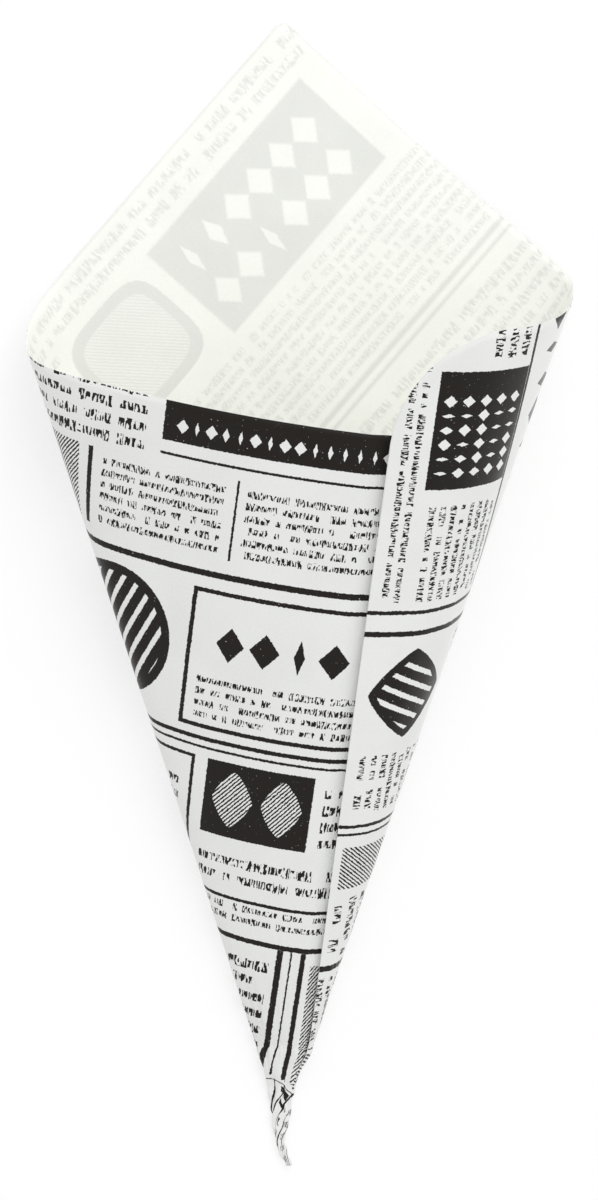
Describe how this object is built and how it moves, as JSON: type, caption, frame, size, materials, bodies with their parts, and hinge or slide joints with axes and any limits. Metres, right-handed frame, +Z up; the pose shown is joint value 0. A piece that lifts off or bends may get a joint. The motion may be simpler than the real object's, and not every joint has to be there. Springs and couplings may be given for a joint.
{
  "type": "greaseproof paper cone",
  "caption": "Open-mouthed cone rolled from one sheet of printed greaseproof paper, with a tall pointed back, a lapped front flap and a twisted tip.",
  "frame": {"origin": "the apex of the roll, on the surface that the cone lies on; the twisted tip goes on past it", "axes": "+Z up, away from the flat back that the cone lies on; +Y from the apex up the back to the peak; +X to the right with the mouth ahead, seen from above"},
  "size_m": [0.1204, 0.2547, 0.0545],
  "materials": {
    "paper": "uncoated greaseproof paper, printed outside in black"
  },
  "bodies": {
    "root": {"paper_cone": "paper"}
  },
  "joints": []
}
